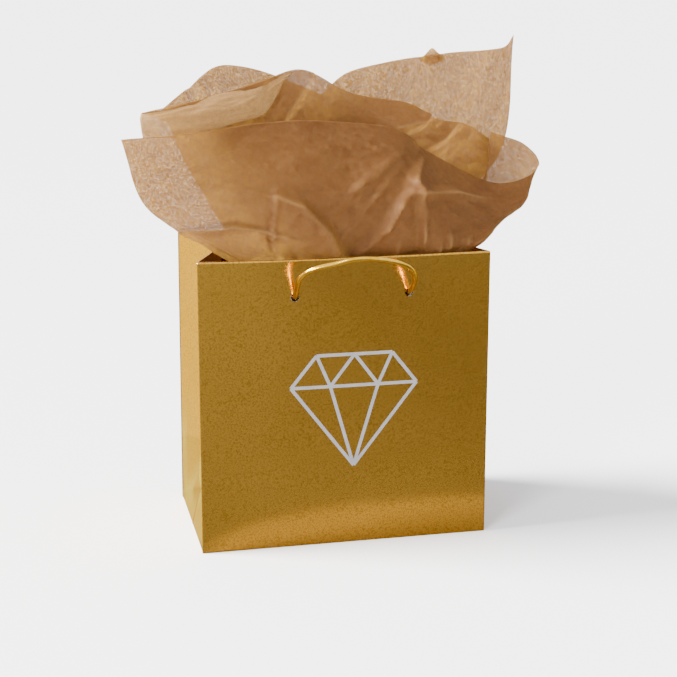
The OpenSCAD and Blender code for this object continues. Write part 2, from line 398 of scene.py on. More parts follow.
def middleY(z):
    return (bag["halfDepth"] + frontY(z)) / 2


def foldIn(z):
    half = (bag["halfDepth"] - frontY(z)) / 2
    return math.sqrt(max(bag["halfDepth"] ** 2 - half ** 2, 0))


# building helpers
def makePiece(name, bm, materials, body=None, stands=()):
    mesh = bpy.data.meshes.new(name)
    bm.normal_update()
    bm.to_mesh(mesh)
    bm.free()
    piece = bpy.data.objects.new(name, mesh)
    bpy.context.collection.objects.link(piece)
    for material in materials:
        mesh.materials.append(material)
    mesh.polygons.foreach_set("use_smooth", [True] * len(mesh.polygons))
    mesh.set_sharp_from_angle(angle=math.radians(42))
    if stands:
        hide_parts(*stands)
    if body:
        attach(piece, body)
    return piece


def addGrid(bm, columns, rows):
    # a flat grid at (column, row, 0), returned as rows of vertices
    lines = [[bm.verts.new((u, v, 0)) for u in columns] for v in rows]
    for lower, upper in zip(lines, lines[1:]):
        for i in range(len(columns) - 1):
            bm.faces.new((lower[i], lower[i + 1], upper[i + 1], upper[i]))
    return lines


def spread(low, high, count):
    return [low + (high - low) * i / count for i in range(count + 1)]


def addShell(bm, thickness, inner=0):
    # gives a skin its thickness on the inside, with its own material there
    outer = set(bm.faces)
    bm.normal_update()
    bmesh.ops.solidify(bm, geom=list(bm.faces), thickness=thickness)
    for face in bm.faces:
        if face not in outer:
            face.material_index = inner


def turnOut(bm, side):
    # the faces of a wall's outer skin look away from the bag
    bmesh.ops.recalc_face_normals(bm, faces=list(bm.faces))
    bm.normal_update()
    spot = wallPoint(side, 0, bag["height"] / 2, 0)
    middle = min(bm.faces, key=lambda f: (f.calc_center_median() - spot).length)
    outward = -1 if side == "front" else 1
    if middle.normal.y * outward < 0:
        bmesh.ops.reverse_faces(bm, faces=list(bm.faces))


def punch(bm, middle, radius, half=0.0045):
    # a round hole in a flat grid, one edge of it for each edge of the cells around it
    near = set()
    for face in bm.faces:
        spot = face.calc_center_median()
        if abs(spot.x - middle[0]) < half and abs(spot.y - middle[1]) < half:
            near.add(face)
    edges = {edge for face in near for edge in face.edges}
    border = [edge for edge in edges if not all(face in near for face in edge.link_faces)]
    outer = {v for edge in border for v in edge.verts}
    bmesh.ops.delete(bm, geom=list(near), context="FACES")

    def turn(v):
        return math.atan2(v.co.y - middle[1], v.co.x - middle[0])

    outer = sorted(outer, key=turn)
    inner = []
    for v in outer:
        angle = turn(v)
        place = (middle[0] + radius * math.cos(angle), middle[1] + radius * math.sin(angle), 0)
        inner.append(bm.verts.new(place))
    for i in range(len(outer)):
        bm.faces.new((outer[i - 1], outer[i], inner[i], inner[i - 1]))


# walls
sheetLook = {
    "thickness": 0.0003,
    "foot": 0.0008,       # radius where the wall turns under
    "lip": 0.0007,        # radius of the vertical edges
    "hole": 0.0025,
    "cell": 0.0025,
}


def makeWall(side):
    foot, lip = sheetLook["foot"], sheetLook["lip"]
    rim = paper + cardThickness / 2
    straight = bag["height"] - foot - rim
    footLength = foot * math.pi / 2
    rimLength = rim * math.pi
    rimStart = footLength + straight
    hemStart = rimStart + rimLength
    total = hemStart + hemHeight - rim
    flatHalf = halfWidth - lip
    lipLength = lip * math.radians(88)
    count = round(2 * flatHalf / sheetLook["cell"])
    columns = spread(-flatHalf - lipLength, -flatHalf, 4)[:-1] + spread(-flatHalf, flatHalf, count)
    columns += spread(flatHalf, flatHalf + lipLength, 4)[1:]
    rows = spread(0, footLength, 4)[:-1] + spread(footLength, rimStart, round(straight / sheetLook["cell"]))
    rows += spread(rimStart, hemStart, 8)[1:] + spread(hemStart, total, 14)[1:]
    columns = sorted(columns + [end * (flatHalf - near) for end in (-1, 1) for near in (0.0003, 0.0010)])
    rows = sorted(rows + [footLength + 0.0003, footLength + 0.0010, rimStart - 0.0003, rimStart - 0.0010])
    bm = bmesh.new()
    addGrid(bm, columns, rows)
    holeRow = footLength + holeHeight - foot
    hemRow = hemStart + (bag["height"] - rim) - holeHeight
    for end in (-1, 1):
        punch(bm, (holeMiddle + end * holeReach, holeRow), sheetLook["hole"])
        punch(bm, (holeMiddle + end * holeReach, hemRow), sheetLook["hole"] * 1.1)
    wear = bm.verts.layers.float.new("wear")
    hemHalf = halfWidth - 0.002
    for v in bm.verts:
        x, s = v.co.x, v.co.y
        turned = smooth(rimStart, hemStart, s)
        if s < footLength:
            angle = s / foot
            height, depth = foot * (1 - math.cos(angle)), foot * (1 - math.sin(angle))
        elif s < rimStart:
            height, depth = foot + s - footLength, 0
        elif s < hemStart:
            angle = (s - rimStart) / rim
            height, depth = bag["height"] - rim + rim * math.sin(angle), rim * (1 - math.cos(angle))
        else:
            height, depth = bag["height"] - rim - (s - hemStart), 2 * rim
        over = max(abs(x) - flatHalf, 0) / lip
        wide = min(abs(x), flatHalf) + lip * math.sin(over)
        wide = mix(wide, abs(x) / (flatHalf + lipLength) * hemHalf, turned)
        depth += lip * (1 - math.cos(over)) * (1 - turned)
        near = min(halfWidth - wide, height, bag["height"] - height)
        v[wear] = 1 - smooth(0, 0.0022, near)
        v.co = wallPoint(side, math.copysign(wide, x), height, depth)
    turnOut(bm, side)
    addShell(bm, sheetLook["thickness"], 1)
    stands = (side + "_panel", side + "_hem")
    makePiece(side + "_sheet", bm, (foil, foilInside), side + "_wall", stands)


def makeCard(side):
    # grey board between the panel and its hem
    halfCard = halfWidth - 0.003
    top = bag["height"] - 0.001
    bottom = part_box("back_card")[0].z
    bm = bmesh.new()
    addGrid(bm, spread(-halfCard, halfCard, 60), spread(bottom, top, 12))
    for end in (-1, 1):
        punch(bm, (holeMiddle + end * holeReach, holeHeight), sheetLook["hole"] * 1.1)
    for v in bm.verts:
        v.co = wallPoint(side, v.co.x, v.co.y, paper)
    turnOut(bm, side)
    addShell(bm, cardThickness * 0.95)
    makePiece(side + "_stiffener", bm, (greyBoard,), side + "_wall", (side + "_card",))


def makeSideLap():
    low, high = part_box("back_side_lap")
    bm = bmesh.new()
    addGrid(bm, spread(low.x, high.x, 6), spread(low.z, high.z, 40))
    for v in bm.verts:
        ragged = 0.0003 * noise.noise(Vector((0, v.co.y, 5)) / 0.012)
        v.co = wallPoint("back", v.co.x + ragged, v.co.y, paper)
    turnOut(bm, "back")
    addShell(bm, sheetLook["thickness"])
    makePiece("side_lap", bm, (foilInside,), "back_wall", ("back_side_lap",))


makeWall("front")
makeWall("back")
makeCard("front")
makeCard("back")
makeSideLap()
print("walls ready")

# gussets
gussetLook = {
    "tuck": 0.0004,       # how far its edge sits behind the wall's rounded edge
    "dent": 0.0009,
    "dentSize": 0.035,
    "rim": 0.0004,
    "fold": 0.0006,       # softness of the folds
    "crease": (0.063, 0.040),   # height of the upper crease at the front wall and at the back
    "brace": (0.045, 0.001),    # and of the lower one
    "pinch": 0.0021,
}


def creaseGap(line, y, z):
    # how far z is above a crease that runs from the front wall to the back
    front, back = gussetLook[line]
    share = (y + bag["halfDepth"]) / (2 * bag["halfDepth"])
    return z - mix(front, back, min(max(share, 0), 1))


# painted shade: how much darker the gusset foil is painted, partly between the creases and fully below the
# lower one
def paintedShadeShare(y, z):
    upper = creaseGap("crease", y, z)
    lower = creaseGap("brace", y, z)
    between = smooth(0.001, -0.001, upper) * smooth(-0.001, 0.001, lower)
    return 0.45 * between + smooth(0.001, -0.001, lower)


def softMin(a, b, soft):
    gap = max(soft - abs(a - b), 0) / soft
    return min(a, b) - gap * gap * soft / 4


def gussetPoint(hand, side, across, z):
    # across is 0 at the wall's edge and 1 at the middle fold
    if side == "front":
        edge = frontY(z) + sheetLook["lip"]
    else:
        edge = bag["halfDepth"] - sheetLook["lip"]
    deep = softMin(apexInset * z / gussetApex, foldIn(max(z, creaseHeight)) * across, 0.0016)
    quiet = min(across, 1 - across) * 4
    quiet = min(quiet, 1) * smooth(0, 0.02, z)
    place = Vector((across * 0.040, z, hand * 2.0 + (side == "front") * 1.3))
    dent = noise.noise(place / gussetLook["dentSize"])
    big = noise.noise(Vector((across * 0.040, z * 0.7, hand * 3.1 + (side == "front") * 4.3)) / 0.06)
    deep += gussetLook["dent"] * (dent + 1.2 * big) * quiet
    rounded = gussetLook["fold"] * (1 - min((1 - across) * 40, 1)) ** 2
    y = mix(edge, middleY(z), across)
    for line, reach in (("crease", 0.026), ("brace", 0.018)):
        ridge = max(1 - abs(creaseGap(line, y, z)) / reach, 0)
        deep -= gussetLook["pinch"] * ridge * quiet
    x = halfWidth - gussetLook["tuck"] - deep + rounded * 0.5
    return Vector((hand * x, y, z))


def makeGusset(hand, side):
    name = "left" if hand < 0 else "right"
    top = bag["height"] * (math.cos(bag["lean"]) if side == "front" else 1)
    middleTop = bag["height"] * (math.cos(bag["lean"]) + 1) / 2
    rim = gussetLook["rim"]
    columns = spread(0, 1, 20)[:-2] + [0.93, 0.96, 0.98, 0.992, 1.0]
    heights = spread(0, 1, 110)
    bm = bmesh.new()
    lines = []
    rows = [("wall", t) for t in heights] + [("rim", t) for t in (0.17, 0.33, 0.5, 0.67, 0.83, 1.0)]
    rows += [("hem", t) for t in spread(0, 1, 14)[1:]]
    wear = bm.verts.layers.float.new("wear")
    paintedShade = bm.verts.layers.float.new("paintedShade")
    for part, t in rows:
        line = []
        for a in columns:
            ceiling = mix(top, middleTop, a) - rim
            if part == "wall":
                v = bm.verts.new(gussetPoint(hand, side, a, ceiling * t))
                z = ceiling * t
                # painted shade below the creases, in place of darker reflections
                v[paintedShade] = paintedShadeShare(v.co.y, z)
                ridge = abs(apexInset * z / gussetApex - foldIn(max(z, creaseHeight)) * a)
                edges = (smooth(0, 0.0012, ridge), smooth(0, 0.03, 1 - a), smooth(0, 0.02, a))
                v[wear] = 1 - min(edges)
            else:
                angle = math.pi * (t if part == "rim" else 1)
                down = (hemHeight - rim) * t if part == "hem" else 0
                base = gussetPoint(hand, side, a, ceiling - down)
                low = gussetPoint(hand, side, max(a - 0.05, 0), ceiling - down)
                high = gussetPoint(hand, side, min(a + 0.05, 1), ceiling - down)
                along = (high - low).normalized()
                inward = Vector((along.y, -along.x, 0))
                if inward.x * hand > 0:
                    inward = -inward
                turned = inward * rim * (1 - math.cos(angle)) + Vector((0, 0, rim * math.sin(angle)))
                v = bm.verts.new(base + turned)
                v[wear] = 0.6 if part == "rim" else 0
            line.append(v)
        lines.append(line)
    for lower, upper in zip(lines, lines[1:]):
        for i in range(len(columns) - 1):
            bm.faces.new((lower[i], lower[i + 1], upper[i + 1], upper[i]))
    bm.normal_update()
    bm.faces.ensure_lookup_table()
    if bm.faces[20 * 22].normal.x * hand < 0:
        bmesh.ops.reverse_faces(bm, faces=list(bm.faces))
    stands = [f"{name}_gusset_{side}_corner", f"{name}_gusset_{side}", f"{name}_hem_{side}"]
    if side == "back":
        stands.append(name + "_gusset_base")
    addShell(bm, sheetLook["thickness"], 1)
    piece = makePiece(f"{name}_{side}_gusset", bm, (foil, foilInside), None, stands)
    z = bag["height"] * 0.6
    start = gussetPoint(hand, side, 1, z)
    end = gussetPoint(hand, side, 0, z)
    start.x = end.x = 0
    start.z = end.z = z
    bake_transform(piece)


for hand in (-1, 1):
    for side in ("front", "back"):
        makeGusset(hand, side)
print("gussets ready")

# base
frameNodes = frame["nodes"]
baseFinish = {
    "bottom_back_flap": foil,
    "bottom_front_flap": foil,
    "bottom_left_flap": foilInside,
    "bottom_right_flap": foilInside,
    "bottom_board": greyBoard,
}
for node, material in baseFinish.items():
    part = frameNodes[node]
    part.data.materials.clear()
    part.data.materials.append(material)

# rope
ropeLook = {
    "diameter": 0.0028,
    "pitch": 0.034,       # one full turn of the strands
    "ridge": 0.045,
    "strands": 3,
    "ring": 24,
    "step": 0.0008,
}
# arch seen square on: x, then distance from the line of the holes
archShape = (
    (-0.0300, 0.0080), (-0.0300, 0.0195), (-0.0240, 0.0268), (-0.0110, 0.0312), (-0.0035, 0.0343),
    (0.0070, 0.0341),
    (0.0180, 0.0314), (0.0290, 0.0249), (0.0340, 0.0164), (0.0350, 0.0080),
)
archLean = math.radians(45)


def curveThrough(points, step):
    # an even chain of points on a rounded line through the given ones
    line = []
    chain = [2 * points[0] - points[1]] + list(points) + [2 * points[-1] - points[-2]]
    for a, b, c, d in zip(chain, chain[1:], chain[2:], chain[3:]):
        count = max(int((c - b).length / step * 2), 2)
        for i in range(count):
            t = i / count
            bend = (2 * a - 5 * b + 4 * c - d) * t * t + (3 * b - a - 3 * c + d) * t ** 3
            line.append(0.5 * (2 * b + (c - a) * t + bend))
    line.append(points[-1].copy())
    even = [line[0]]
    rest = step
    for a, b in zip(line, line[1:]):
        length = (b - a).length
        while length > 0 and rest <= length:
            even.append(a.lerp(b, rest / length))
            rest += step
        rest -= length
    if (even[-1] - line[-1]).length > step * 0.3:
        even.append(line[-1])
    return even


def softened(points, rounds):
    for _ in range(rounds):
        inner = [(a + 2 * b + c) / 4 for a, b, c in zip(points, points[1:], points[2:])]
        points = [points[0]] + inner + [points[-1]]
    return points


def sweepRope(bm, path, radius, ridge):
    ring = ropeLook["ring"]
    last = len(path) - 1
    tangents = [(path[min(i + 1, last)] - path[max(i - 1, 0)]).normalized() for i in range(last + 1)]
    side = tangents[0].orthogonal().normalized()
    travelled = 0
    rings = []
    for i, point in enumerate(path):
        if i:
            side = tangents[i - 1].rotation_difference(tangents[i]) @ side
            side = (side - tangents[i] * side.dot(tangents[i])).normalized()
            travelled += (point - path[i - 1]).length
        up = tangents[i].cross(side)
        turn = 2 * math.pi * travelled / ropeLook["pitch"]
        loop = []
        for k in range(ring):
            angle = 2 * math.pi * k / ring
            size = radius * (1 + ridge * math.cos(ropeLook["strands"] * angle - turn))
            loop.append(bm.verts.new(point + (side * math.cos(angle) + up * math.sin(angle)) * size))
        rings.append(loop)
    for lower, upper in zip(rings, rings[1:]):
        for k in range(ring):
            j = (k + 1) % ring
            bm.faces.new((lower[k], lower[j], upper[j], upper[k]))
    bm.faces.new(list(reversed(rings[0])))
    bm.faces.new(rings[-1])
    return travelled


def makeHandle(side):
    left, right = holeMiddle - holeReach, holeMiddle + holeReach
    wallIn = 2 * paper + cardThickness
    middle = (wallPoint(side, left, holeHeight, 0) + wallPoint(side, right, holeHeight, 0)) / 2

    def through(x, depth):
        point = wallPoint(side, x, holeHeight, depth)
        return point

    facing = through(0, -0.001) - through(0, 0)
    facing.normalize()
    up = Vector((0, math.sin(bag["lean"]), math.cos(bag["lean"]))) if side == "front" else Vector((0, 0, 1))
    base = middle + facing * ropeOut

    def arch(x, reach):
        shift = 1 if side == "front" else -1
        flip = holeMiddle + (x - holeMiddle) * shift
        return Vector((flip, base.y, base.z)) + (up * math.cos(archLean) + facing * math.sin(archLean)) * reach

    points = [arch(x, s) for x, s in archShape]
    if side == "back":
        points.reverse()
    ends = [
        [through(left, wallIn + 0.004), through(left, wallIn), through(left, 0), through(left, -0.0012)],
        [through(right, wallIn + 0.004), through(right, wallIn), through(right, 0), through(right, -0.0012)],
    ]
    line = curveThrough(ends[0] + points + list(reversed(ends[1])), ropeLook["step"])
    line = softened(line, 26)
    line = curveThrough(line, ropeLook["step"])
    bm = bmesh.new()
    length = sweepRope(bm, line, ropeLook["diameter"] / 2, ropeLook["ridge"])
    name = side + "_rope"
    piece = makePiece(name, bm, (ropeGold,), None, (side + "_handle",))
    start = wallPoint(side, left, holeHeight, 0.0006)
    end = wallPoint(side, left, holeHeight, -0.004)
    start.x = end.x = 0
    return piece, line, length, start, end


def makeKnot(side, x, name):
    wallIn = 2 * paper + cardThickness
    centre = wallPoint(side, x, holeHeight, wallIn + (knotHigh.x - knotLow.x) / 2)
    size = 0.00115
    path = []
    for i in range(97):
        t = 2 * math.pi * i / 96
        x = (math.sin(t) + 2 * math.sin(2 * t)) * size * 0.75
        y = math.sin(3 * t) * size * 1.1
        z = (math.cos(t) - 2 * math.cos(2 * t)) * size * 0.75
        path.append(centre + Vector((x, y, z)))
    bm = bmesh.new()
    sweepRope(bm, path, ropeLook["diameter"] * 0.44, ropeLook["ridge"])
    return makePiece(name + "_wrap", bm, (ropeGold,), side + "_wall", (name,))


for side in ("front", "back"):
    piece, line, length, start, end = makeHandle(side)
    knots = [
        makeKnot(side, holeMiddle - holeReach, side + "_left_knot"),
        makeKnot(side, holeMiddle + holeReach, side + "_right_knot"),
    ]
    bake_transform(piece)
    print(side, "rope", round(length, 4))

# tissue
# Rows run from the gathered end up to the free edge, points from left to right, in millimetres.
# A fold is a line of (share across, share up, height) with how far it reaches to its left and right.
tissueSheets = {
    "front": {
        "net": (
            ((-44, -20, 105), (-32, -21, 105), (-18, -21, 105), (-4, -21, 105), (8, -21, 105), (18, -21, 105),
             (28, -21, 105), (38, -20, 105), (40, -17, 105), (36, -14, 105), (28, -13, 105)),
            ((-56, -23, 152), (-40, -24, 152), (-22, -24, 152), (-4, -24, 152), (14, -24, 152),
             (28, -24, 152),
             (42, -24, 152), (58, -22, 152), (60, -17, 152), (54, -12, 152), (44, -11, 152)),
            ((-74, -27, 169), (-56, -32, 168), (-30, -32, 168), (-2, -32, 168), (24, -32, 168),
             (42, -32, 168),
             (60, -31, 168), (79.5, -30, 169.5), (78, -17, 173), (73, -9, 173), (62, -7, 173)),
            ((-109, -38, 196), (-78, -35, 200), (-42, -34, 202), (-4, -33, 201), (28, -31, 198),
             (48, -27, 192),
             (68, -21, 187), (92, -12, 180), (113, 2, 182), (110, 10, 190), (90, 6, 198)),
            ((-121, -42, 232), (-81, -30, 233), (-46, -18, 236), (-6, -10, 235), (33, -4, 229), (52, -3, 217),
             (75, -1, 205), (103, 4, 195), (127, 13, 203), (119, 19, 216), (96, 12, 224)),
        ),
        "folds": (
            (((0.31, 0.40, 6.0), (0.275, 0.60, 6.0), (0.24, 0.69, 4.5), (0.202, 0.73, 1.5)), 26, 3.6),
            (((0.165, 0.50, 1.5), (0.172, 0.57, 2.6), (0.202, 0.73, 1.0)), 2.4, 9),
            (((0.26, 0.60, 0.8), (0.33, 0.76, 1.6), (0.41, 0.90, 0.4)), 3.5, 4.5),
            (((0.30, 0.56, 0.6), (0.36, 0.73, 1.3), (0.42, 0.88, 0.3)), 2.5, 3.5),
            (((0.335, 0.42, 3.6), (0.41, 0.70, 3.0), (0.50, 0.97, 0.4)), 4.5, 26),
            (((0.385, 0.60, 1.6), (0.44, 0.80, 1.8), (0.49, 0.95, 0.4)), 5, 3.0),
            (((0.55, 0.36, 4.0), (0.50, 0.56, 3.6), (0.455, 0.75, 2.4)), 4.4, 20),
            (((0.455, 0.75, 2.4), (0.586, 0.823, 2.2), (0.68, 0.88, 0.4)), 8, 3.4),
            (((0.63, 0.37, 2.6), (0.60, 0.50, 2.0), (0.575, 0.60, 0.2)), 3, 7),
            (((0.60, 0.37, 2.0), (0.575, 0.47, 1.2), (0.56, 0.53, 0.0)), 3, 4),
            (((0.67, 0.37, 2.2), (0.65, 0.50, 1.6), (0.64, 0.60, 0.0)), 4, 3),
            (((0.20, 0.58, 1.2), (0.12, 0.63, 2.0), (0.0, 0.62, 0.8)), 12, 2.4),
            (((0.09, 0.40, 3.0), (0.06, 0.52, 2.0), (0.03, 0.60, 0.3)), 3, 9),
            (((0.23, 0.34, 2.5), (0.21, 0.45, 1.8), (0.20, 0.52, 0.2)), 4, 4),
            (((0.45, 0.34, 2.5), (0.435, 0.46, 1.6), (0.42, 0.55, 0.2)), 3, 6),
        ),
        "across": 220, "up": 180, "pleats": 6, "pleatDepth": 2.6, "stand": 1.7,
        "crumple": 1.5, "fine": 0.5, "seed": 1.3, "cut": (0.190, 0.127),
    },
    "middle": {
        "net": (
            ((-40, -6, 105), (-30, -6, 105), (-18, -6, 105), (-6, -6, 105), (6, -6, 105), (16, -6, 105),
             (24, -6, 105), (32, -6, 105), (40, -6, 105)),
            ((-50, -6, 152), (-38, -6, 152), (-24, -6, 152), (-10, -6, 152), (4, -6, 152), (16, -6, 152),
             (28, -5, 152), (38, -4, 152), (48, -3, 152)),
            ((-54, -7, 169), (-44, -8, 168), (-30, -8, 168), (-14, -8, 168), (2, -7, 168), (20, -6, 168),
             (36, -4, 168), (50, -1, 168), (62, 1, 169)),
            ((-60, -17, 204), (-50, -14, 205), (-36, -12, 206), (-18, -10, 207), (4, -7, 207), (30, -4, 205),
             (54, 2, 199), (76, 10, 195), (95, 16, 191)),
            ((-82, -21, 231), (-66, -16, 230), (-43, -10, 233), (-18, -4, 236), (6, 0, 230), (38, 1, 227),
             (57, 5, 219), (78, 11, 214), (97, 18, 206)),
            ((-109, -24, 243), (-77, -13, 248), (-43, -3, 256), (-17.5, 3, 262), (10, 6, 248.5), (44, 6, 242),
             (60, 8, 233), (80, 12, 229), (98, 20, 219)),
        ),
        "flap": (
            ((-109, -24.5, 243), (-93, -19.5, 244.5), (-77, -13.5, 248), (-58, -7.5, 252.3), (-43, -3.5, 256),
             (-33, -0.5, 258.8), (-22, 2.5, 261)),
            ((-110, -29, 240), (-94, -26, 241), (-78, -22, 242), (-59, -15.5, 245), (-44, -10, 248),
             (-36, -5.5, 251.5), (-26, 0.3, 258.5)),
            ((-109, -30, 231), (-94, -28.5, 230.5), (-78, -26, 231), (-59, -18.5, 236), (-44, -12, 238.5),
             (-37, -8, 243.5), (-28, 0, 257)),
        ),
        "folds": (
            (((0.24, 0.60, 1.0), (0.32, 0.80, 2.4), (0.40, 0.97, 1.0)), 12, 3),
            (((0.50, 0.70, 1.0), (0.62, 0.82, 2.2), (0.70, 0.93, 1.5)), 8, 3),
            (((0.72, 1.0, 2.6), (0.70, 0.90, 2.2), (0.62, 0.76, 0.5)), 2, 7),
            (((0.85, 1.0, 1.0), (0.80, 0.85, 1.8), (0.70, 0.70, 0.5)), 3, 8),
            (((0.10, 0.50, 2.0), (0.16, 0.70, 2.0), (0.16, 0.95, 0.5)), 4, 12),
        ),
        "across": 170, "pleats": 6, "pleatDepth": 1.6, "stand": 1.15,
        "crumple": 2.0, "fine": 0.5, "seed": 4.1, "cut": (0.190, 0.127),
    },
    "left": {
        "net": (
            ((-34, 3, 105), (-24, 3, 105), (-12, 3, 105), (0, 3, 105), (12, 3, 105), (24, 3, 105),
             (34, 3, 105)),
            ((-44, 6, 152), (-30, 6, 152), (-15, 6, 152), (0, 6, 152), (15, 6, 152), (30, 6, 152),
             (44, 6, 152)),
            ((-57, 9, 168), (-40, 8, 168), (-20, 8, 168), (0, 8, 168), (20, 8, 168), (38, 9, 168),
             (52, 10, 168)),
            ((-80, 12, 208), (-62, 11, 212), (-40, 11, 214), (-16, 12, 214), (8, 13, 210), (30, 14, 206),
             (50, 18, 202)),
            ((-94, 10, 241), (-78, 13, 253), (-62, 17, 263), (-40, 18, 260.5), (-10, 19, 249),
             (20, 20, 236), (48, 21, 222)),
        ),
        "folds": (
            (((0.10, 0.70, 0.6), (0.14, 0.85, 2.5), (0.15, 1.0, 3.5)), 2, 9),
            (((0.30, 0.60, 0.6), (0.33, 0.80, 1.5), (0.38, 1.0, 1.0)), 8, 3),
        ),
        "across": 130, "pleats": 5, "pleatDepth": 1.4, "stand": 1,
        "crumple": 2.0, "fine": 0.5, "seed": 7.7, "cut": (0.127, 0.127),
    },
    "back": {
        "net": (
            ((-34, 15, 105), (-24, 15, 105), (-12, 15, 105), (0, 15, 105), (12, 15, 105), (24, 15, 105),
             (34, 15, 105)),
            ((-46, 24, 152), (-30, 24, 152), (-15, 24, 152), (0, 24, 152), (15, 24, 152), (32, 24, 152),
             (50, 24, 152)),
            ((-54, 27, 168), (-36, 28, 168), (-18, 29, 168), (2, 29, 168), (24, 29, 168), (46, 29, 168),
             (66, 28, 168)),
            ((-20, 27, 210), (0, 27, 212), (20, 28, 214), (42, 29, 214), (66, 30, 212), (88, 31, 210),
             (109, 31, 210)),
            ((-6, 27, 240), (12, 28, 256.5), (38, 29, 263), (62, 29, 266.5), (82, 30, 268.5),
             (108, 31, 270.5), (114, 31, 278)),
        ),
        "flap": (
            ((58, 31, 264.5), (61, 31.2, 267), (65, 31.5, 270.5), (68.5, 31.3, 268), (72, 31, 265.5)),
            ((58, 31, 262.5), (61, 31.2, 262), (65, 31.5, 261), (68.5, 31.3, 262), (72, 31, 263)),
        ),
        "folds": (
            (((0.42, 0.66, 1.5), (0.44, 0.80, 2.6), (0.47, 0.92, 0.8)), 2.5, 8),
            (((0.46, 0.80, 0.4), (0.455, 0.92, 1.4), (0.46, 1.0, 0.8)), 3, 5),
            (((0.75, 0.60, 1.0), (0.80, 0.80, 1.2), (0.9, 0.97, 0.4)), 9, 4),
        ),
        "across": 130, "pleats": 5, "pleatDepth": 1.2, "stand": 1,
        "crumple": 1.4, "fine": 0.4, "seed": 9.2, "cut": (0.127, 0.127),
    },
}
tissueMesh = {"up": 150, "thickness": 0.00015}


def onLine(points, t):
    # a rounded line through the points, t from 0 to 1
    last = len(points) - 1
    place = min(max(t, 0), 1) * last
    i = min(int(place), last - 1)
    t = place - i
    b, c = points[i], points[i + 1]
    a = points[i - 1] if i else 2 * b - c
    d = points[i + 2] if i + 2 <= last else 2 * c - b
    bend = (2 * a - 5 * b + 4 * c - d) * t * t + (3 * b - a - 3 * c + d) * t ** 3
    return 0.5 * (2 * b + (c - a) * t + bend)


def onNet(rows, u, v):
    return onLine([onLine(row, u) for row in rows], v)


def ridged(where):
    # sharp valleys where the noise changes sign, like creased paper
    return 1 - 2 * min(abs(noise.noise(where)) * 1.8, 1)


def foldHeight(fold, point, normal):
    # how far a fold lifts this point, steep on its narrow side
    line, left, right = fold
    best = None
    for (a, lowA), (b, lowB) in zip(line, line[1:]):
        along = b - a
        t = min(max((point - a).dot(along) / along.length_squared, 0), 1)
        away = point - a - along * t
        if best is None or away.length < best[0]:
            best = (away.length, mix(lowA, lowB, t), away.cross(along).dot(normal))
    reach = right if best[2] > 0 else left
    share = best[0] / (reach * mm)
    if share >= 1:
        return 0, 0
    # fold lines are painted paler: partly worn paper, partly painted highlight
    wearAndHighlight = max(1 - best[0] / (1.1 * mm), 0) * min(best[1] / 2.5, 1)
    return best[1] * (1 - share) ** 1.4, wearAndHighlight


def addPatch(bm, rows, across, up, look, loose):
    # loose patches only get the fine crumple
    seed = look["seed"]
    crease = bm.verts.layers.float.get("crease") or bm.verts.layers.float.new("crease")
    folds = []
    for path, left, right in () if loose else look["folds"]:
        folds.append(([(onNet(rows, u, v), height * look["stand"]) for u, v, height in path], left, right))
    points = [[onNet(rows, i / across, j / up) for i in range(across + 1)] for j in range(up + 1)]
    lines = []
    raised = []
    for j in range(up + 1):
        v = j / up
        line = []
        for i in range(across + 1):
            u = i / across
            lift = 0
            right = points[j][min(i + 1, across)] - points[j][max(i - 1, 0)]
            rise = points[min(j + 1, up)][i] - points[max(j - 1, 0)][i]
            normal = right.cross(rise).normalized()
            flat = Vector((u * 0.24, v * 0.17, seed))
            wearAndHighlight = 0
            if loose:
                # painted highlight: the loose flap is painted lighter all over, for the lit side it turns to
                # the light
                wearAndHighlight = 0.75
                away = smooth(0, 0.25, v)
                offset = 0.35 * away * ridged(flat / 0.03) + 0.15 * away * noise.noise(flat / 0.012)
            else:
                free = smooth(0.42, 0.75, v)
                gathered = 1 - smooth(0.5, 0.95, v)
                wander = 0.35 * noise.noise(Vector((u * 5, v * 2, seed)))
                pleat = abs(math.sin(math.pi * (look["pleats"] * u + wander))) - 0.6
                offset = look["pleatDepth"] * pleat * (0.25 + 0.75 * gathered)
                crumple = look["crumple"] * free
                offset += crumple * (ridged(flat / 0.055) * 0.55 + 0.5 * noise.noise(flat / 0.08))
                offset += crumple * 0.35 * ridged(flat / 0.026 + Vector((3, 1, 0)))
                for fold in folds:
                    height, worn = foldHeight(fold, points[j][i], normal)
                    lift += height
                    wearAndHighlight = max(wearAndHighlight, 0.4 * worn)
                lift *= mix(0.35, 1, smooth(0.40, 0.60, v))  # folds flatten where the rim holds them
                rough = 0.3 + 0.7 * free
                offset += look["fine"] * rough * (ridged(flat / 0.011) * 0.35 + noise.noise(flat / 0.006) * 0.2)
            vertex = bm.verts.new(points[j][i] + normal * (offset + lift) * mm)
            if lift > 0.3 and 0 < i < across and 0 < j < up:
                raised.append(vertex)
            vertex[crease] = wearAndHighlight
            line.append(vertex)
        lines.append(line)
    for lower, upper in zip(lines, lines[1:]):
        for i in range(across):
            bm.faces.new((lower[i], lower[i + 1], upper[i + 1], upper[i]))
    # steep folds cross the grid at an angle, so their steps are evened out
    for step in range(2 if raised else 0):
        bmesh.ops.smooth_vert(bm, verts=raised, factor=0.5, use_axis_x=True, use_axis_y=True, use_axis_z=True)


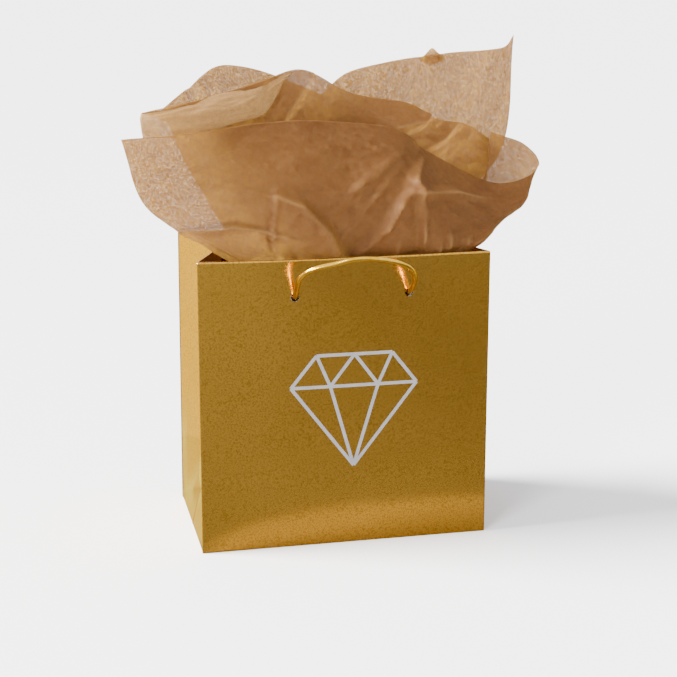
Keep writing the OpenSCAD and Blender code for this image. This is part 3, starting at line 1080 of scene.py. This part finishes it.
def makeTissue(name, look):
    bm = bmesh.new()
    rows = [[Vector(p) * mm for p in row] for row in look["net"]]
    addPatch(bm, rows, look["across"], look.get("up", tissueMesh["up"]), look, False)
    if "flap" in look:
        rows = [[Vector(p) * mm for p in row] for row in look["flap"]]
        addPatch(bm, rows, 70, 24, look, True)
    area = sum(f.calc_area() for f in bm.faces)
    piece = makePiece(name + "_tissue", bm, (kraftTissue,), "tissue", ("tissue_" + name,))
    solid = piece.modifiers.new("thickness", "SOLIDIFY")
    solid.thickness = tissueMesh["thickness"]
    solid.offset = 0
    print("tissue", name, "area", round(area, 4))
    return piece


for name, look in tissueSheets.items():
    piece = makeTissue(name, look)
    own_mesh(piece)

# ornament on the front
ornamentLook = {"middle": (0.004, 0.080), "size": 0.036, "stroke": 0.0019, "lift": 0.00003}
# a cut stone in outline, in halves of its width
stoneLines = (
    ((-1.0, 0.35), (-0.6, 0.85), (0.6, 0.85), (1.0, 0.35), (0.0, -0.95), (-1.0, 0.35)),
    ((-1.0, 0.35), (1.0, 0.35)),
    ((-0.6, 0.85), (-0.38, 0.35), (0.0, 0.85), (0.38, 0.35), (0.6, 0.85)),
    ((-0.38, 0.35), (0.0, -0.95), (0.38, 0.35)),
)


def makeOrnament():
    bm = bmesh.new()
    cx, cz = ornamentLook["middle"]
    size = ornamentLook["size"]
    half = ornamentLook["stroke"] / 2
    lift = ornamentLook["lift"]
    for line in stoneLines:
        for a, b in zip(line, line[1:]):
            lift += 0.000003  # strokes that cross don't share a height
            start = Vector((cx + a[0] * size, cz + a[1] * size, 0))
            end = Vector((cx + b[0] * size, cz + b[1] * size, 0))
            along = (end - start).normalized()
            across = Vector((-along.y, along.x, 0)) * half
            count = max(int((end - start).length / 0.002), 1)
            pairs = []
            for i in range(count + 1):
                point = start.lerp(end, i / count)
                pair = []
                for sign in (1, -1):
                    flat = point + across * sign
                    pair.append(bm.verts.new(wallPoint("front", flat.x, flat.y, -lift)))
                pairs.append(pair)
            for low, high in zip(pairs, pairs[1:]):
                bm.faces.new((low[0], low[1], high[1], high[0]))
    bm.normal_update()
    back = [f for f in bm.faces if f.normal.y > 0]
    bmesh.ops.reverse_faces(bm, faces=back)
    addShell(bm, ornamentLook["lift"])
    makePiece("ornament", bm, (greyPrint,), "front_wall", ())


makeOrnament()

# floor and light
# the camera sees the pale floor; the other colours are painted reflections that only glossy rays see
floorLook = {
    "size": 10.0,
    "pale": (0.86, 0.85, 0.84, 1),
    "side": (0.28, 0.250, 0.016, 1),   # painted reflection: what the gussets and the back mirror
    "near": (0.128, 0.112, 0.070, 1),   # painted reflection: what the front mirrors close by
    "far": (0.054, 0.054, 0.045, 1),    # and further out
    "right": (0.029, 0.027, 0.024, 1),  # painted reflection, darker towards the right
    "spot": (0.060, -0.044, 0.138, 0.074),   # middle and half sizes of the close part
}


def makeFloor():
    bm = bmesh.new()
    bmesh.ops.create_grid(bm, x_segments=8, y_segments=8, size=floorLook["size"])
    mesh = bpy.data.meshes.new("floor")
    bm.to_mesh(mesh)
    bm.free()
    floor = bpy.data.objects.new("floor", mesh)
    bpy.context.collection.objects.link(floor)
    material, tree, shader, where = newMaterial("pale_floor")
    shader.inputs["Roughness"].default_value = 0.9
    cloud = noiseNode(tree, where, 3, 3)
    pale = mixColor(tree, cloud, floorLook["pale"], tuple(c * 0.985 for c in floorLook["pale"][:3]) + (1,))
    # painted reflection: glossy rays get darker, tinted floor colours, so the foil mirrors a painted surround
    path = tree.nodes.new("ShaderNodeLightPath")
    split = tree.nodes.new("ShaderNodeSeparateXYZ")
    tree.links.new(where, split.inputs[0])
    middleX, middleY, reachX, reachY = floorLook["spot"]
    across = mathNode(tree, "DIVIDE", mathNode(tree, "SUBTRACT", split.outputs["X"], middleX), reachX)
    deep = mathNode(tree, "DIVIDE", mathNode(tree, "SUBTRACT", split.outputs["Y"], middleY), reachY)
    across = mathNode(tree, "MULTIPLY", across, across)
    ring = mathNode(tree, "ADD", across, mathNode(tree, "MULTIPLY", deep, deep))
    beyond = mixColor(tree, remap(tree, split.outputs["X"], -0.02, 0.24), floorLook["far"], floorLook["right"])
    paintedReflection = mixColor(tree, remap(tree, ring, 0.9, 1.1), floorLook["near"], beyond)
    ahead = remap(tree, split.outputs["Y"], -0.02, -0.05)
    paintedReflection = mixColor(tree, ahead, floorLook["side"], paintedReflection)
    shown = mixColor(tree, path.outputs["Is Glossy Ray"], pale, paintedReflection)
    tree.links.new(shown, shader.inputs["Base Color"])
    mesh.materials.append(material)


def addArea(name, place, aim, size, power, color=(1, 1, 1)):
    data = bpy.data.lights.new(name, "AREA")
    data.shape = "RECTANGLE"
    data.size, data.size_y = size
    data.energy = power
    data.color = color
    light = bpy.data.objects.new(name, data)
    bpy.context.collection.objects.link(light)
    light.location = place
    light.rotation_mode = "QUATERNION"
    light.rotation_quaternion = (Vector(aim) - Vector(place)).to_track_quat("-Z", "Y")


def addSun(name, toward, angle, power):
    data = bpy.data.lights.new(name, "SUN")
    data.angle = math.radians(angle)
    data.energy = power
    light = bpy.data.objects.new(name, data)
    bpy.context.collection.objects.link(light)
    light.rotation_mode = "QUATERNION"
    light.rotation_quaternion = Vector(toward).to_track_quat("Z", "Y")


def makeWorld():
    world = bpy.data.worlds.new("pale_room")
    bpy.context.scene.world = world
    world.use_nodes = True
    back = world.node_tree.nodes["Background"]
    back.inputs["Color"].default_value = (0.93, 0.95, 1.0, 1)
    back.inputs["Strength"].default_value = 1.55


makeFloor()
makeWorld()
addSun("window", (-1.0, 0.20, 0.85), 24, 20)
addArea("fill", (-1.05, -1.05, 0.80), (0, 0, 0.16), (0.5, 0.5), 34)
print("stage ready")
